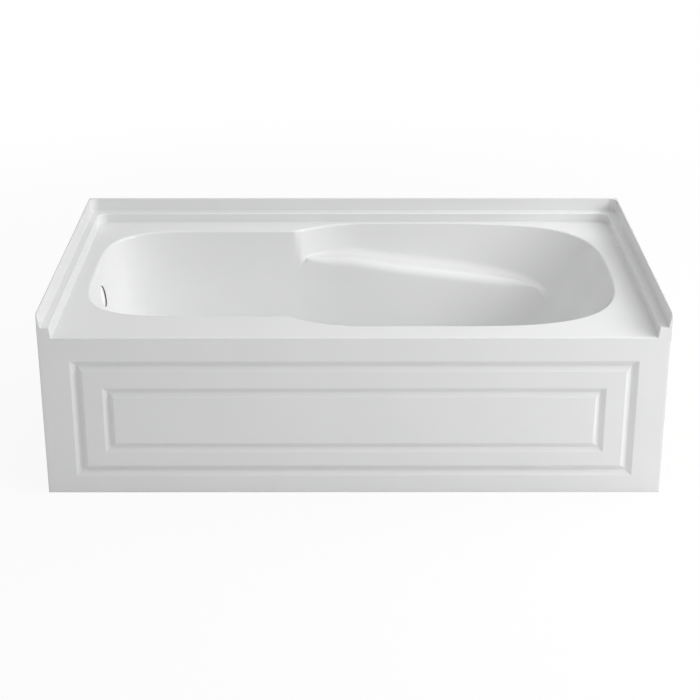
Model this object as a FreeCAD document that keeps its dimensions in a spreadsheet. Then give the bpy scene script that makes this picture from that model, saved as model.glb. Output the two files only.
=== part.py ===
"""Alcove bathtub with a panelled front apron, arm rests in its well and a stepped tile flange.

Frame: +Z up, Z = 0 on the floor, the apron faces -Y, the drain end is at -X.
The origin is at floor level in the middle of the tub's length and depth. Millimetres.
"""
import FreeCAD, Part
import math
import os
import re
import Sketcher

Vector = FreeCAD.Vector

# ---------------------------------------------------------------- driving dimensions
SIZES = {
    # whole tub
    "tub_length": 1524,            # over the two end flanges
    "tub_depth": 813,              # apron face to the back of the flange
    "deck_height": 425,            # floor to the top of the deck
    "sheet": 5,                    # acrylic sheet
    "laminate": 4,                 # glass-fibre laminate behind the acrylic
    # tile flange: an upper wall, a ledge and a lower step down to the deck
    "flange_rise": 63,             # deck to the flange's top edge
    "flange_lean": 5,              # how far the upper wall leans in on its way down
    "ledge_rise": 26,              # deck to the ledge
    "ledge_width": 20,
    "step_lean": 4,
    "flange_corner": 26,           # plan radius of the flange's inner corners
    "outer_corner": 8,             # plan radius of the two back corners
    "front_edge": 3,               # rounding along the front edge of the deck
    "cove": 5,                     # fillet where the flange step meets the deck
    # bathing well, widths and lengths measured at the deck
    "foot_deck": 78,               # deck left at the drain end
    "head_deck": 85,               # deck left at the backrest end
    "front_deck": 71.5,            # deck left in front of the arm rests
    "back_deck": 41.5,             # deck and flange left behind them
    "foot_narrowing": 60,          # how much narrower each side of the drain half is than the rim
    "rest_width": 85,              # how much narrower each side is between the arm rests
    "waist_gap": 190,              # end of the drain end's curve to where the well starts to narrow
    "waist_length": 320,
    "foot_curve": 334,             # length of the drain end's curve along X
    "foot_squareness": 4.1,
    "head_curve": 427,
    "head_squareness": 3.2,
    "well_depth": 350,
    "floor_radius": 60,
    "rim_radius": 8,
    "side_draft": 9,               # degrees from upright
    "foot_draft": 12,
    "head_draft": 28,
    "lower_head_gap": 5,           # the narrow well's head end inside the wide one's at the deck
    "lower_head_curve": 190,
    "lower_head_squareness": 2.8,
    # arm rests: an upper basin, shallower and wider than the well
    "rest_drop": 80,               # deck to the level part of the arm rest
    "rest_slope": 6.7,             # degrees that the rest falls towards the backrest
    "slope_from_head": 717,        # head rim to where it starts to fall
    "rest_bend": 600,              # radius of the bend between its level and falling parts
    "recess_from_head": 650,       # head rim to where the upper basin's drain-side curve begins
    "recess_curve": 344,
    "upper_draft": 14,
    "backrest_draft": 33,
    # holes
    "overflow_radius": 28.5,
    "overflow_drop": 75,           # deck to the overflow's centre
    "drain_radius": 26,
    "drain_from_rim": 184,         # rim of the drain end to the drain's centre
    "laminate_relief": 12,         # how far the laminate stays back from a hole
    # apron
    "apron_return": 30,            # depth of the apron's folded edges
    "groove_flat": 4,              # width of the flat at the bottom of a groove
    "groove_skin": 1.5,            # how far a ridge behind a groove is wider than it
    "outer_groove_width": 28.6,
    "outer_groove_deep": 9,
    "outer_frame_side": 74,        # apron end to the outer frame
    "outer_frame_top": 62,         # deck to the outer frame
    "outer_frame_low": 48.5,       # floor to the outer frame
    "inner_groove_width": 25,
    "inner_groove_deep": 7.5,
    "inner_frame_side": 149,
    "inner_frame_top": 134.5,
    "inner_frame_low": 114.5,
    # timber
    "board_thick": 12,
    "board_inset": 115,            # side of the well at the deck to the edge of the board
    "board_drain_gap": 75,         # drain centre to the end of the board
    "board_length": 715,
    "batten_thick": 30,
    "batten_height": 30,
    "batten_clearance": 2,         # between a batten and the wall that it runs along
    "batten_from_recess": 149,     # end of the back batten to the end of the recess's curve
    "rail_thick": 20,
    "rail_height": 34,
    "top_batten_thick": 25,
    "top_batten_height": 40,
    "stile_width": 45,
    "stile_thick": 15,
    "stile_from_end": 342,         # end of the apron to the middle of an outer stile
    # steel cradle and levelling feet
    "channel_width": 44,
    "channel_height": 25,
    "channel_steel": 2.5,
    "channel_from_front": 32,
    "channel_from_back": 45,
    "channel_from_board_start": 95,
    "channel_from_board_end": 70,
    "front_foot_inset": 79.5,      # front end of a channel to its front foot
    "back_foot_inset": 36.5,
    "stud_radius": 5.9,
    "stud_hole_gap": 0.6,          # round a stud where it passes a channel
    "stud_above_channel": 48,
    "stud_in_pad": 9,
    "stud_chamfer": 1,
    "thread_clearance": 0.1,
    "nut_across_corners": 21.9,
    "nut_height": 10,
    "pad_radius": 25,
    "pad_edge": 5,
    "pad_height": 14,
    "pad_boss_radius": 12,
    # brackets and screws
    "bracket_width": 30,
    "bracket_steel": 3,
    "bracket_leg": 42,
    "bracket_drop": 43,
    "screw_radius": 2.5,
    "screw_head_radius": 5,
    "screw_head": 2.5,
    "screw_bite": 9,
    "screw_clearance": 0.1,
    "screw_pair": 16,              # spacing of the two screws in each leg of a bracket
    "bracket_screw_inset": 18,     # front end of a channel to the bracket's screws
    "board_screw_spacing": 120,
}

# ---------------------------------------------------------------- places worked out from them
PLACES = {
    "half_length": "tub_length / 2",
    "front_y": "-tub_depth / 2",
    "back_y": "tub_depth / 2",
    "deck_under": "deck_height - sheet",
    "laminate_under": "deck_under - laminate",
    "floor_top": "deck_height - well_depth",
    "board_top": "floor_top - sheet - laminate",
    "board_under": "board_top - board_thick",
    "channel_under": "board_under - channel_height",
    "web_under": "board_under - channel_steel",
    "foot_rim_x": "foot_deck - half_length",
    "head_rim_x": "half_length - head_deck",
    "rim_half_width": "(tub_depth - front_deck - back_deck) / 2",
    "well_shift": "(front_deck - back_deck) / 2",
    "foot_half_width": "rim_half_width - foot_narrowing",
    "seat_half_width": "rim_half_width - rest_width",
    "waist_start": "foot_rim_x + foot_curve + waist_gap",
    "rest_slope_start": "head_rim_x - slope_from_head",
    "recess_start": "head_rim_x - recess_from_head",
    "drain_x": "foot_rim_x + drain_from_rim",
    "step_foot": "sheet + flange_lean + ledge_width + step_lean",
    "hidden_step": "step_foot - sheet - step_lean / 2",
    "apron_height": "deck_under",
    "rail_top": "sheet + rail_height",
    "rail_back_y": "front_y + sheet + rail_thick",
    "batten_under": "deck_under - top_batten_height",
    "batten_back_y": "front_y + sheet + top_batten_thick",
    "channel_front_y": "front_y + channel_from_front",
    "channel_back_y": "back_y - channel_from_back",
    "nut_under": "web_under - nut_height",
    "channel_screw_y": "channel_front_y + bracket_screw_inset",
    "front_foot_y": "channel_front_y + front_foot_inset",
    "back_foot_y": "channel_back_y - back_foot_inset",
    "board_width": "2 * (seat_half_width - board_inset)",
    "board_start_x": "drain_x + board_drain_gap",
    "foot_channel_x": "board_start_x + channel_from_board_start",
    "head_channel_x": "board_start_x + board_length - channel_from_board_end",
    "bracket_top": "board_under + bracket_steel",
    "rail_screw_z": "sheet + rail_height / 2",
}

doc = FreeCAD.newDocument("alcove_bathtub")
sizes = doc.addObject("Spreadsheet::Sheet", "sizes")
places = doc.addObject("App::VarSet", "places")


def resolve(text):
    """Expression text with each word pointed at the object that holds it."""
    def owner(match):
        word = match.group(0)
        if word in SIZES:
            return "sizes." + word
        if word in PLACES:
            return "places." + word
        return word
    return re.sub(r"[a-z][a-z0-9_]*", owner, text)


def fill_sheet():
    for row, (name, number) in enumerate(SIZES.items(), start=1):
        sizes.set("A%d" % row, name)
        sizes.set("B%d" % row, str(number))
        sizes.setAlias("B%d" % row, name)
    doc.recompute()
    for name, text in PLACES.items():
        places.addProperty("App::PropertyFloat", name)
        places.setExpression(name, resolve(text))
    doc.recompute()


def size(name):
    return float(getattr(sizes if name in SIZES else places, name))


def bind(item, **expressions):
    for prop, text in expressions.items():
        item.setExpression(prop.replace("__", "."), resolve(text))


def place(item, x="0", y="0", z="0"):
    bind(item, Placement__Base__x=x, Placement__Base__y=y, Placement__Base__z=z)


def solid_feature(name, shape):
    item = doc.addObject("Part::Feature", name)
    item.Shape = shape
    return item


# ---------------------------------------------------------------- small builders
def block(name, length, width, height, x, y, z):
    """A rectangular timber or plate with its low corner at x, y, z."""
    item = doc.addObject("Part::Box", name)
    bind(item, Length=length, Width=width, Height=height)
    place(item, x, y, z)
    return item


def new_body(name):
    return doc.addObject("PartDesign::Body", name)


def sketch_on(body, role, name, x="0", y="0", z="0"):
    """A sketch on one of the body's own planes, moved by x, y in it and z along its normal."""
    plane = [p for p in body.Origin.OriginFeatures if p.Role == role][0]
    sketch = body.newObject("Sketcher::SketchObject", name)
    sketch.AttachmentSupport = [(plane, "")]
    sketch.MapMode = "FlatFace"
    bind(sketch, AttachmentOffset__Base__x=x, AttachmentOffset__Base__y=y, AttachmentOffset__Base__z=z)
    return sketch


def bound_constraint(sketch, constraint, text):
    index = sketch.addConstraint(constraint)
    sketch.setExpression("Constraints[%d]" % index, resolve(text))


def rectangle(sketch, width, height):
    """A rectangle centred on the sketch's origin."""
    first = sketch.GeometryCount
    corners = [Vector(-10, -10, 0), Vector(10, -10, 0), Vector(10, 10, 0), Vector(-10, 10, 0)]
    for k in range(4):
        sketch.addGeometry(Part.LineSegment(corners[k], corners[(k + 1) % 4]), False)
    for k in range(4):
        sketch.addConstraint(Sketcher.Constraint("Coincident", first + k, 2, first + (k + 1) % 4, 1))
    for k in (0, 2):
        sketch.addConstraint(Sketcher.Constraint("Horizontal", first + k))
        sketch.addConstraint(Sketcher.Constraint("Vertical", first + k + 1))
    sketch.addConstraint(Sketcher.Constraint("Symmetric", first, 1, first + 2, 1, -1, 1))
    bound_constraint(sketch, Sketcher.Constraint("DistanceX", first, 1, first, 2, 20), width)
    bound_constraint(sketch, Sketcher.Constraint("DistanceY", first + 1, 1, first + 1, 2, 20), height)


def circle(sketch, radius, x="0", y="0"):
    index = sketch.addGeometry(Part.Circle(Vector(1, 1, 0), Vector(0, 0, 1), 5), False)
    bound_constraint(sketch, Sketcher.Constraint("Radius", index, 5), radius)
    bound_constraint(sketch, Sketcher.Constraint("DistanceX", -1, 1, index, 3, 1), x)
    bound_constraint(sketch, Sketcher.Constraint("DistanceY", -1, 1, index, 3, 1), y)


def extrude(body, kind, sketch, length, **settings):
    """A Pad or a Pocket of a sketch; settings are its plain properties."""
    item = body.newObject("PartDesign::" + kind, sketch.Name + "_" + kind.lower())
    item.Profile = sketch
    for prop, value in settings.items():
        setattr(item, prop, value)
    bind(item, Length=length)
    return item


# ---------------------------------------------------------------- forms of the bathing well
def end_curve(start, tip, half_width, squareness, steps=7):
    """Points from (start, +half_width) round (tip, 0) to (start, -half_width)."""
    points = []
    for k in range(2 * steps + 1):
        angle = math.pi * k / (2 * steps)
        x = start + (tip - start) * abs(math.sin(angle)) ** (2 / squareness)
        y = half_width * math.copysign(abs(math.cos(angle)) ** (2 / squareness), math.cos(angle))
        points.append((x, y))
    return points


def side_points(start, length, foot_half_width, head_half_width):
    """Points along the well's side, which bends smoothly from one half width to the other."""
    points = []
    for share in (0, 0.25, 0.5, 0.75, 1):
        bend = share * share * (3 - 2 * share)
        points.append((start + share * length, foot_half_width + bend * (head_half_width - foot_half_width)))
    return points


def outline(foot, side, head, z):
    """Closed smooth curve round the well at height z; foot and head are
    (start, tip, half width, squareness) of the two end curves."""
    points = end_curve(*foot)
    points += [(x, -y) for x, y in side]
    points += reversed(end_curve(*head))
    points += reversed(side)
    curve = Part.BSplineCurve()
    shift = size("well_shift")
    curve.interpolate([Vector(x, y + shift, z) for x, y in points], PeriodicFlag=True)
    return Part.Wire([curve.toShape()])


def rounding_levels(radius, steps=3):
    """(distance from the flat, distance from the wall) pairs round a quarter circle."""
    pairs = []
    for k in range(steps + 1):
        angle = math.pi / 2 * k / steps
        pairs.append((radius * (1 - math.cos(angle)), radius * (1 - math.sin(angle))))
    return pairs


def rim_levels():
    """(depth below the deck, distance outside the straight wall) pairs round the rim."""
    return rounding_levels(size("rim_radius"))


def slope(name):
    return math.tan(math.radians(size(name)))


def closed_form(rim, wall, low=()):
    """A solid over a rounded rim, a straight wall and, where given, a rounded foot."""
    faces = Part.makeLoft(rim, False, False).Faces + Part.makeLoft(wall, False, True).Faces
    if low:
        faces += Part.makeLoft(low, False, False).Faces
    faces += [Part.Face(rim[0]), Part.Face((low or wall)[-1])]
    shell = Part.makeShell(faces)
    shell.sewShape()
    return Part.makeSolid(shell)


def lower_form(grow):
    """The long narrow well from the deck to its floor, grown by a thickness."""
    drop = size("well_depth")

    def section(depth, offset):
        out = offset + grow
        foot_tip = size("foot_rim_x") + depth * slope("foot_draft") - out
        narrower = depth * slope("side_draft") - out
        foot_end = (foot_tip + size("foot_curve"), foot_tip,
                    size("foot_half_width") - narrower, size("foot_squareness"))
        head_tip = size("head_rim_x") - size("lower_head_gap") - depth * slope("head_draft") + out
        head_end = (head_tip - size("lower_head_curve"), head_tip,
                    size("seat_half_width") - narrower, size("lower_head_squareness"))
        waist = side_points(size("waist_start"), size("waist_length"), foot_end[2], head_end[2])
        down = grow if depth == drop else 0
        return outline(foot_end, waist, head_end, size("deck_height") - depth - down)

    rim = [section(*level) for level in rim_levels()]
    foot_levels = reversed(rounding_levels(size("floor_radius")))
    foot = [section(drop - depth, -offset) for depth, offset in foot_levels]
    return closed_form(rim, [rim[-1], foot[0]], foot)


def under_rest(lower):
    """Everything below the arm rests: level, then falling towards the backrest."""
    width = size("tub_depth")
    reach = size("half_length")
    top = size("deck_height") - size("rest_drop") - lower
    angle = math.radians(size("rest_slope"))
    radius = size("rest_bend")
    bend_x = size("rest_slope_start")
    bend_end = Vector(bend_x + radius * math.sin(angle), 0, top - radius * (1 - math.cos(angle)))
    bend_mid = Vector(bend_x + radius * math.sin(angle / 2), 0, top - radius * (1 - math.cos(angle / 2)))
    end_z = bend_end.z - (reach - bend_end.x) * math.tan(angle)
    corners = [Vector(reach, 0, end_z), Vector(reach, 0, 0), Vector(-reach, 0, 0), Vector(-reach, 0, top)]
    start = Vector(bend_x, 0, top)
    edges = [Part.makeLine(corners[3], start), Part.Arc(start, bend_mid, bend_end).toShape(),
             Part.makeLine(bend_end, corners[0])]
    edges += [Part.makeLine(corners[k], corners[k + 1]) for k in range(3)]
    profile = Part.Face(Part.Wire(edges))
    profile.translate(Vector(0, -width / 2, 0))
    return profile.extrude(Vector(0, width, 0))


def upper_form(grow):
    """The wide basin over the arm rests, grown by a thickness."""

    def section(depth, offset):
        out = offset + grow
        foot_tip = size("recess_start") - size("recess_curve") + depth * slope("upper_draft") - out
        half_width = size("rim_half_width") - depth * slope("upper_draft") + out
        foot_end = (size("recess_start"), foot_tip, half_width, 2)
        head_tip = size("head_rim_x") - depth * slope("backrest_draft") + out
        head_end = (head_tip - size("head_curve"), head_tip, half_width, size("head_squareness"))
        between = head_end[0] - foot_end[0]
        side = side_points(foot_end[0] + between / 6, between * 2 / 3, half_width, half_width)
        return outline(foot_end, side, head_end, size("deck_height") - depth)

    lowest = size("rest_drop") + (size("head_rim_x") - size("rest_slope_start")) * slope("rest_slope") + grow
    rim = [section(*level) for level in rim_levels()]
    return closed_form(rim, [rim[-1], section(lowest, 0)]).cut(under_rest(grow))


def well_forms(grow):
    return [lower_form(grow), upper_form(grow)]


# ---------------------------------------------------------------- tile flange
def tray_wire(inset, corner, z):
    """U-shaped opening that runs out past the front and follows the three walls."""
    x = size("half_length") - inset
    back = size("back_y") - inset
    front = size("front_y") - 10
    turn = corner * (1 - math.sqrt(0.5))
    left_mid = Vector(-x + turn, back - turn, z)
    right_mid = Vector(x - turn, back - turn, z)
    left_side = Vector(-x, back - corner, z)
    right_side = Vector(x, back - corner, z)
    left_back = Vector(-x + corner, back, z)
    right_back = Vector(x - corner, back, z)
    edges = [
        Part.makeLine(Vector(-x, front, z), left_side),
        Part.Arc(left_side, left_mid, left_back).toShape(),
        Part.makeLine(left_back, right_back),
        Part.Arc(right_back, right_mid, right_side).toShape(),
        Part.makeLine(right_side, Vector(x, front, z)),
        Part.makeLine(Vector(x, front, z), Vector(-x, front, z)),
    ]
    return Part.Wire(edges)


def tray_form(low_inset, low_z, high_inset, high_z):
    """The space above a ledge or the deck, between the leaning flange walls."""
    corner = size("flange_corner")
    low = tray_wire(low_inset, corner, low_z)
    high = tray_wire(high_inset, corner + low_inset - high_inset, high_z)
    return Part.makeLoft([low, high], True, True)


def flange_and_deck():
    top = size("deck_height") + size("flange_rise")
    ledge = size("deck_height") + size("ledge_rise")
    deck = size("deck_height")
    envelope = Part.makeBox(size("tub_length"), size("tub_depth"), top - size("deck_under"),
                            Vector(-size("half_length"), size("front_y"), size("deck_under")))
    upright = [e for e in envelope.Edges if e.Length < size("tub_depth") / 2 and e.CenterOfMass.y > 0]
    envelope = envelope.makeFillet(size("outer_corner"), upright)
    ledge_foot = size("sheet") + size("flange_lean")
    step_top = ledge_foot + size("ledge_width")
    upper = tray_form(ledge_foot, ledge, size("sheet"), top)
    lower = tray_form(size("step_foot"), deck, step_top, ledge)
    lower = lower.makeFillet(size("cove"), foot_edges(lower, deck))
    under = hidden_step_form(ledge - size("sheet"))
    return envelope.cut([upper, lower]).cut(under)


def foot_edges(form, z):
    """Edges of a tray form on its lowest face, apart from the one past the front."""
    return [e for e in form.Edges if abs(e.BoundBox.ZMax - z) < 0.01 and e.CenterOfMass.y > size("front_y")]


def hidden_step_form(top):
    """The space behind the flange's step, under its ledge, on the three wall sides."""
    low = size("deck_under")
    front = size("front_y") + size("sheet")
    inset = size("hidden_step")
    outer = Part.makeBox(size("tub_length") + 20, size("tub_depth"), top - low,
                         Vector(-size("half_length") - 10, front, low))
    inner = Part.makeBox(size("tub_length") - 2 * inset, size("tub_depth") - size("sheet") - inset, top - low,
                         Vector(-size("half_length") + inset, front, low))
    return outer.cut(inner)


# ---------------------------------------------------------------- shell and laminate
def overflow_tool(radius):
    """A bore square to the sloping wall at the drain end."""
    angle = math.radians(size("foot_draft"))
    depth = size("overflow_drop")
    middle = Vector(size("foot_rim_x") + depth * math.tan(angle), size("well_shift"), size("deck_height") - depth)
    along = Vector(math.cos(angle), 0, math.sin(angle))
    return Part.makeCylinder(radius, 80, middle - along * 40, along)


def drain_tool(radius):
    low = Vector(size("drain_x"), size("well_shift"), size("board_under"))
    return Part.makeCylinder(radius, size("floor_top") + 20 - low.z, low)


def front_deck_edges(shape):
    """Edges along the front of the deck and up the ends of the flange."""
    found = []
    for edge in shape.Edges:
        box = edge.BoundBox
        on_front = box.YMax < size("front_y") + 0.01
        inside = abs(edge.CenterOfMass.x) < size("half_length") - 0.01
        if on_front and inside and box.ZMin > size("deck_under") + 0.01:
            found.append(edge)
    return found


def bath_shell(inner_forms, middle_forms):
    shape = flange_and_deck()
    shape = shape.makeFillet(size("front_edge"), front_deck_edges(shape))
    shape = shape.fuse(middle_forms).cut(inner_forms)
    shape = shape.cut([overflow_tool(size("overflow_radius")), drain_tool(size("drain_radius"))])
    return solid_feature("bath_shell", shape)


def shell_backing(middle_forms, outer_forms):
    """Laminate under the deck and round the outside of the well."""
    inset = size("step_foot")
    front = size("batten_back_y")
    plate = Part.makeBox(size("tub_length") - 2 * inset, size("back_y") - inset - front, size("laminate"),
                         Vector(-size("half_length") + inset, front, size("laminate_under")))
    above = Part.makeBox(size("tub_length"), size("tub_depth"), size("deck_height"),
                         Vector(-size("half_length"), size("front_y"), size("deck_under")))
    outside = [form.cut(above) for form in outer_forms]
    shape = plate.fuse(outside).cut(middle_forms)
    relief = size("laminate_relief")
    shape = shape.cut([overflow_tool(size("overflow_radius") + relief), drain_tool(size("drain_radius") + relief)])
    return solid_feature("shell_backing", shape)


# ---------------------------------------------------------------- apron
def frustum(name, side, top, low, run, deep, y):
    """A rectangle on the plane y that narrows by run on each side as it goes deep."""
    item = doc.addObject("Part::Wedge", name)
    bind(item, Xmin="%s - half_length" % side, Xmax="half_length - (%s)" % side)
    bind(item, Zmin=low, Zmax="deck_height - (%s)" % top)
    bind(item, X2min="%s + %s - half_length" % (side, run), X2max="half_length - (%s) - (%s)" % (side, run))
    bind(item, Z2min="%s + %s" % (low, run), Z2max="deck_height - (%s) - (%s)" % (top, run))
    bind(item, Ymin="0", Ymax=deep)
    place(item, y=y)
    return item


def frame_ring(name, side, top, low, width, flat, deep, y):
    """A mitred rectangular ring whose section is a flat-bottomed V of the given width."""
    run = "(%s - %s) / 2" % (width, flat)
    outer = frustum(name + "_outside", side, top, low, run, deep, y)
    step_in = [text + " + " + width for text in (side, top, low)]
    inner = frustum(name + "_inside", *step_in, "-(%s)" % run, deep, y)
    ring = doc.addObject("Part::Cut", name)
    ring.Base = outer
    ring.Tool = inner
    return ring


def apron_tray():
    body = new_body("apron_tray")
    place(body, y="front_y")
    face = sketch_on(body, "XZ_Plane", "apron_outline", y="apron_height / 2")
    rectangle(face, "tub_length", "apron_height")
    extrude(body, "Pad", face, "apron_return", Reversed=True)
    hollow = sketch_on(body, "XZ_Plane", "apron_hollow", y="apron_height / 2 + sheet", z="-sheet")
    rectangle(hollow, "tub_length - 2 * sheet", "apron_height")
    extrude(body, "Pocket", hollow, "apron_return")
    return body


def front_apron():
    """A tray with two frames pressed into its face; each groove has its ridge behind."""
    ridges = []
    grooves = []
    for frame in ("outer", "inner"):
        side, top, low = ["%s_frame_%s" % (frame, edge) for edge in ("side", "top", "low")]
        width = frame + "_groove_width"
        deep = frame + "_groove_deep"
        grooves.append(frame_ring(frame + "_groove", side, top, low, width, "groove_flat", deep, "front_y"))
        wider = [text + " - groove_skin" for text in (side, top, low)]
        ridges.append(frame_ring(frame + "_ridge", *wider, width + " + 2 * groove_skin",
                                 "(groove_flat + 2 * groove_skin)", deep, "front_y + sheet"))
    tray = doc.addObject("Part::MultiFuse", "apron_with_ridges")
    tray.Shapes = [apron_tray()] + ridges
    cutters = doc.addObject("Part::MultiFuse", "apron_grooves")
    cutters.Shapes = grooves
    apron = doc.addObject("Part::Cut", "front_apron")
    apron.Base = tray
    apron.Tool = cutters
    return apron


# ---------------------------------------------------------------- timber
def base_board():
    """Plywood under the well's floor, with a pilot for each cradle screw."""
    body = new_body("base_board")
    place(body, x="board_start_x + board_length / 2", y="well_shift", z="board_under")
    face = sketch_on(body, "XY_Plane", "board_outline")
    rectangle(face, "board_length", "board_width")
    extrude(body, "Pad", face, "board_thick")
    pilots = sketch_on(body, "XY_Plane", "board_pilots")
    for channel in ("foot", "head"):
        for step in (-1, 0, 1):
            circle(pilots, "screw_radius + screw_clearance",
                   "%s_channel_x - board_start_x - board_length / 2" % channel,
                   "%d * board_screw_spacing" % step)
    extrude(body, "Pocket", pilots, "screw_bite + screw_clearance", Reversed=True)
    return body


def battens():
    long_way = "tub_length - 2 * sheet - 2 * batten_clearance"
    low_x = "sheet + batten_clearance - half_length"
    top = block("apron_top_batten", long_way, "top_batten_thick", "top_batten_height",
                low_x, "front_y + sheet", "batten_under")
    beside_wall = "step_foot + batten_clearance"
    end_long = "back_y - (%s) - batten_back_y" % beside_wall
    under = "laminate_under - batten_height"
    left = block("drain_end_batten", "batten_thick", end_long, "batten_height",
                 beside_wall + " - half_length", "batten_back_y", under)
    right = block("head_end_batten", "batten_thick", end_long, "batten_height",
                  "half_length - (%s) - batten_thick" % beside_wall, "batten_back_y", under)
    start = beside_wall + " + batten_thick - half_length"
    back = block("back_batten", "recess_start - batten_from_recess - (%s)" % start, "batten_thick", "batten_height",
                 start, "back_y - (%s) - batten_thick" % beside_wall, under)
    return [top, left, right, back]


def apron_rail():
    """The timber along the foot of the apron, with pilots for the bracket screws."""
    body = new_body("apron_rail")
    place(body, y="front_y + sheet", z="sheet")
    end = sketch_on(body, "XZ_Plane", "rail_outline", y="rail_height / 2")
    rectangle(end, "tub_length - 2 * sheet - 2 * batten_clearance", "rail_height")
    extrude(body, "Pad", end, "rail_thick", Reversed=True)
    pilots = sketch_on(body, "XZ_Plane", "rail_pilots", z="-rail_thick")
    for channel in ("foot", "head"):
        for side in ("-", "+"):
            circle(pilots, "screw_radius + screw_clearance",
                   "%s_channel_x %s screw_pair / 2" % (channel, side), "rail_screw_z - sheet")
    extrude(body, "Pocket", pilots, "screw_bite + screw_clearance", Reversed=True)
    return body


def apron_stiles():
    stiles = []
    for number in (1, 2, 3):
        stiles.append(block("apron_stile_%d" % number, "stile_width", "stile_thick", "batten_under - rail_top",
                            "%d * (half_length - stile_from_end) - stile_width / 2" % (number - 2),
                            "front_y + sheet + outer_groove_deep", "rail_top"))
    return stiles


# ---------------------------------------------------------------- steel cradle
def cradle_channel(end):
    """An upturned steel channel across the tub, bored for two feet and its screws."""
    body = new_body(end + "_channel")
    place(body, x=end + "_channel_x", z="channel_under")
    middle = "-(channel_front_y + channel_back_y) / 2"
    length = "channel_back_y - channel_front_y"
    outline = sketch_on(body, "XY_Plane", end + "_channel_outline", y="-(%s)" % middle)
    rectangle(outline, "channel_width", length)
    extrude(body, "Pad", outline, "channel_height")
    hollow = sketch_on(body, "XY_Plane", end + "_channel_hollow", y="-(%s)" % middle)
    rectangle(hollow, "channel_width - 2 * channel_steel", length + " + 10")
    extrude(body, "Pocket", hollow, "channel_height - channel_steel", Reversed=True)
    holes = sketch_on(body, "XY_Plane", end + "_channel_holes")
    for foot in ("front_foot_y", "back_foot_y"):
        circle(holes, "stud_radius + stud_hole_gap", "0", foot)
    for side in ("-", "+"):
        circle(holes, "screw_radius + screw_clearance", side + "screw_pair / 2", "channel_screw_y")
    for step in (-1, 0, 1):
        circle(holes, "screw_radius + screw_clearance", "0", "well_shift + %d * board_screw_spacing" % step)
    extrude(body, "Pocket", holes, "channel_height + 1", Reversed=True)
    return body


def apron_bracket(end):
    """An angle that ties the apron's rail to the front of a channel."""
    body = new_body(end + "_bracket")
    place(body, x=end + "_channel_x", y="rail_back_y", z="bracket_top")
    outline = sketch_on(body, "XY_Plane", end + "_bracket_outline", y="bracket_leg / 2")
    rectangle(outline, "bracket_width", "bracket_leg")
    extrude(body, "Pad", outline, "bracket_steel", Reversed=True)
    upright = sketch_on(body, "XZ_Plane", end + "_bracket_upright", y="-bracket_drop / 2")
    rectangle(upright, "bracket_width", "bracket_drop")
    extrude(body, "Pad", upright, "bracket_steel", Reversed=True)
    for role, depth, name in (("XY_Plane", "channel_screw_y - rail_back_y", "web_holes"),
                              ("XZ_Plane", "rail_screw_z - bracket_top", "rail_holes")):
        holes = sketch_on(body, role, end + "_" + name)
        for side in ("-", "+"):
            circle(holes, "screw_radius + screw_clearance", side + "screw_pair / 2", depth)
        pocket = extrude(body, "Pocket", holes, "2 * bracket_steel + 1")
        pocket.Midplane = True
    return body


# ---------------------------------------------------------------- levelling feet
def foot_stud(name, x, y):
    body = new_body(name + "_stud")
    place(body, x, y, "pad_height - stud_in_pad")
    face = sketch_on(body, "XY_Plane", name + "_stud_circle")
    circle(face, "stud_radius")
    extrude(body, "Pad", face, "board_under + stud_above_channel - pad_height + stud_in_pad")
    doc.recompute()
    ends = ["Edge%d" % (k + 1) for k, edge in enumerate(body.Shape.Edges) if edge.Curve.TypeId == "Part::GeomCircle"]
    bevel = body.newObject("PartDesign::Chamfer", name + "_stud_chamfer")
    bevel.Base = (body.Group[1], ends)
    bind(bevel, Size="stud_chamfer")
    return body


def foot_pad(name, x, y):
    """A round pad with a raised socket that the stud stands in."""
    body = new_body(name + "_pad")
    place(body, x, y)
    face = sketch_on(body, "XY_Plane", name + "_pad_circle")
    circle(face, "pad_radius")
    extrude(body, "Pad", face, "pad_edge")
    boss = sketch_on(body, "XY_Plane", name + "_pad_boss", z="pad_edge")
    circle(boss, "pad_radius - pad_edge")
    cone = extrude(body, "Pad", boss, "pad_height - pad_edge")
    bind(cone, TaperAngle="-atan((pad_radius - pad_edge - pad_boss_radius) / (pad_height - pad_edge))")
    socket = sketch_on(body, "XY_Plane", name + "_pad_socket", z="pad_height")
    circle(socket, "stud_radius + thread_clearance")
    extrude(body, "Pocket", socket, "stud_in_pad")
    return body


def hex_nut(name, x, y, z):
    prism = doc.addObject("Part::Prism", name + "_hexagon")
    prism.Polygon = 6
    bind(prism, Circumradius="nut_across_corners / 2", Height="nut_height")
    bore = doc.addObject("Part::Cylinder", name + "_bore")
    bind(bore, Radius="stud_radius + thread_clearance", Height="nut_height")
    nut = doc.addObject("Part::Cut", name)
    nut.Base = prism
    nut.Tool = bore
    place(nut, x, y, z)
    return nut


def levelling_feet():
    pieces = []
    corners = [(end, side) for end in ("foot", "head") for side in ("front", "back")]
    for number, (end, side) in enumerate(corners, start=1):
        name = "foot_%d" % number
        x, y = end + "_channel_x", side + "_foot_y"
        pieces.append(foot_stud(name, x, y))
        pieces.append(foot_pad(name, x, y))
        pieces.append(hex_nut(name + "_adjusting_nut", x, y, "nut_under"))
        pieces.append(hex_nut(name + "_lock_nut", x, y, "board_under"))
    return pieces


# ---------------------------------------------------------------- screws
def screw(under_head, along, length):
    """A pan-head screw: the head stands behind the point under_head."""
    head = Part.makeCylinder(size("screw_head_radius"), size("screw_head"), under_head, along * -1)
    shank = Part.makeCylinder(size("screw_radius"), length, under_head, along)
    return head.fuse(shank).removeSplitter()


def cradle_screws():
    """Up through each channel's web into the base board."""
    screws = []
    length = size("channel_steel") + size("screw_bite")
    for end in ("foot", "head"):
        for step in (-1, 0, 1):
            y = size("well_shift") + step * size("board_screw_spacing")
            point = Vector(size(end + "_channel_x"), y, size("web_under"))
            screws.append(screw(point, Vector(0, 0, 1), length))
    return solid_feature("cradle_screws", Part.makeCompound(screws))


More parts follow.
